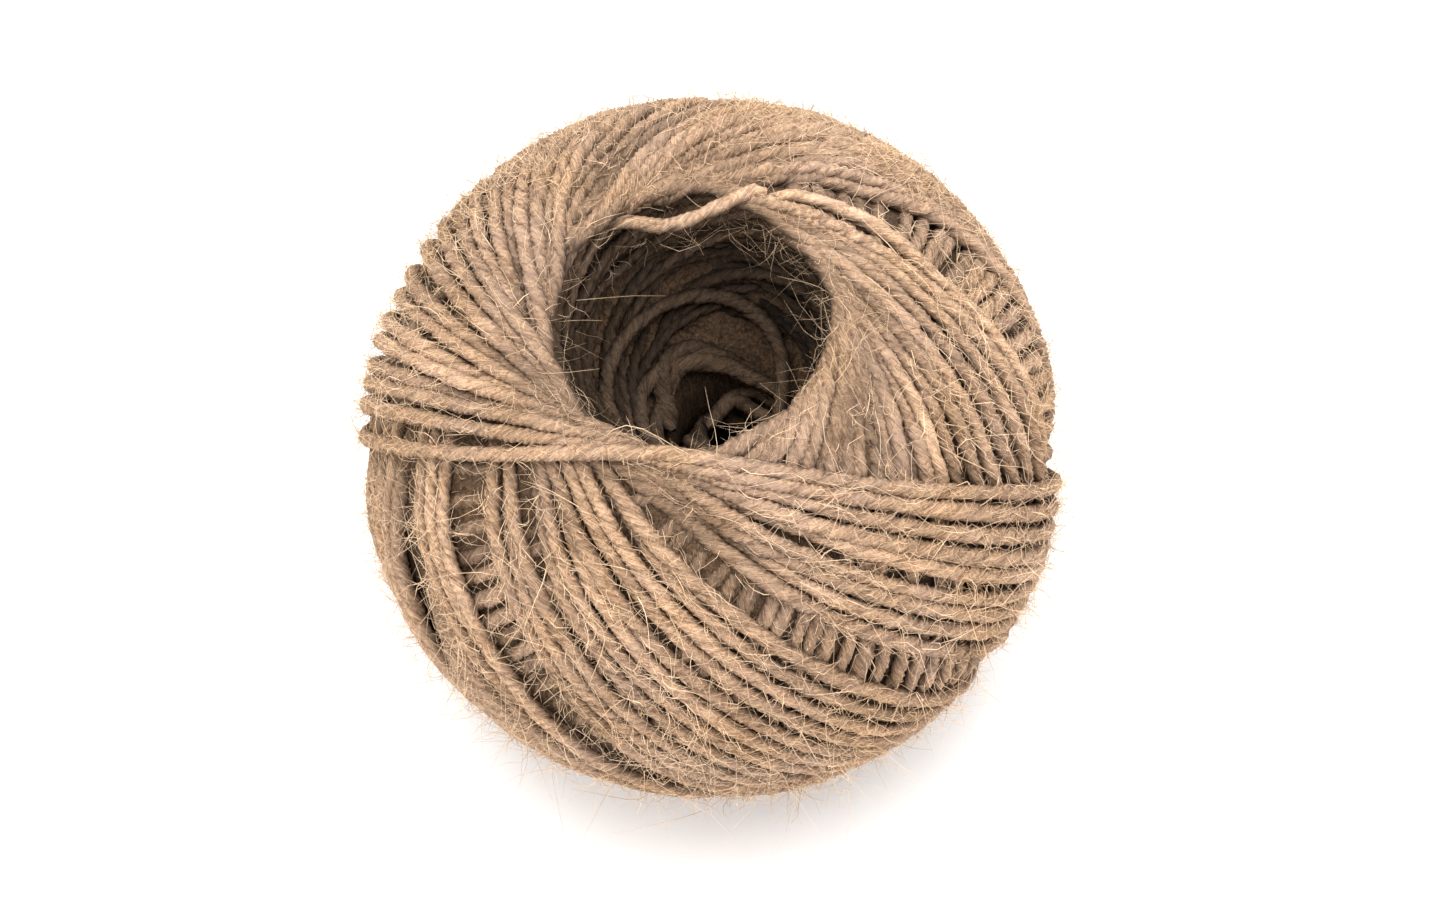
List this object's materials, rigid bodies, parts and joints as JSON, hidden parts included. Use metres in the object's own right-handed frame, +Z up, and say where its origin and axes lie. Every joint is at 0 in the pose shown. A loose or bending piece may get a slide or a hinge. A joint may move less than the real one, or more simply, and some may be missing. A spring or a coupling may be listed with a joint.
{
  "type": "ball of twine",
  "caption": "Hollow-cored ball of wound jute twine, standing on its flattened end with the open mouth of the hole on top.",
  "frame": {"origin": "bottom centre of the ball's box, in the plane of the flat spot it stands on", "axes": "+Z up out of the mouth of the hole; -Y towards the side where the newest turn crosses in front of the hole; +X to that side's right"},
  "size_m": [0.0854, 0.0846, 0.0774],
  "materials": {
    "jute": "matt, hairy, two-ply twisted natural fibre"
  },
  "bodies": {
    "root": {"wound_ball": "jute"}
  },
  "joints": []
}
